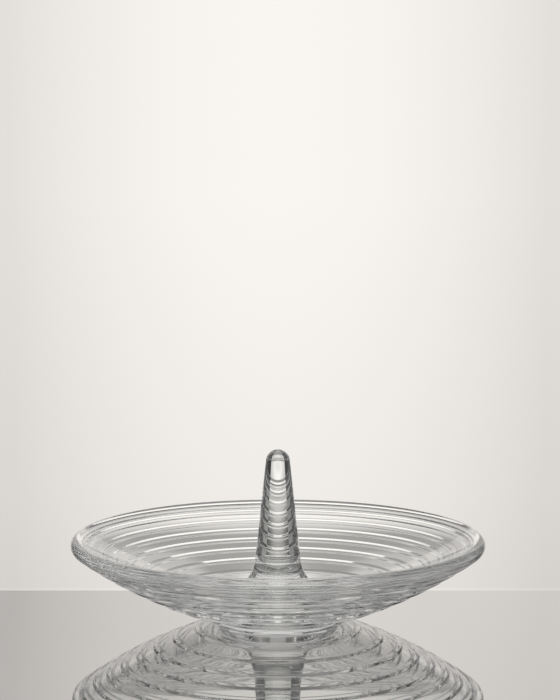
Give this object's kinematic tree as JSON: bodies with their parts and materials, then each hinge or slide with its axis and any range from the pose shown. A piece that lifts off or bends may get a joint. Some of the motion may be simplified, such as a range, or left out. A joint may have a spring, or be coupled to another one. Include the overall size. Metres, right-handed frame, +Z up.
{
  "type": "ring dish",
  "caption": "Shallow round clear glass dish with a tapered glass spike in its middle that finger rings drop over, and raised rings round its underside.",
  "frame": {"origin": "centre of the ground flat that the dish stands on", "axes": "+Z up along the spike, the axis that the whole dish is round about"},
  "size_m": [0.12, 0.12, 0.05],
  "materials": {
    "clear_glass": "pressed and fire polished, clear and colourless"
  },
  "bodies": {
    "root": {"dish": "clear_glass", "ring_cone": "clear_glass"}
  },
  "joints": []
}
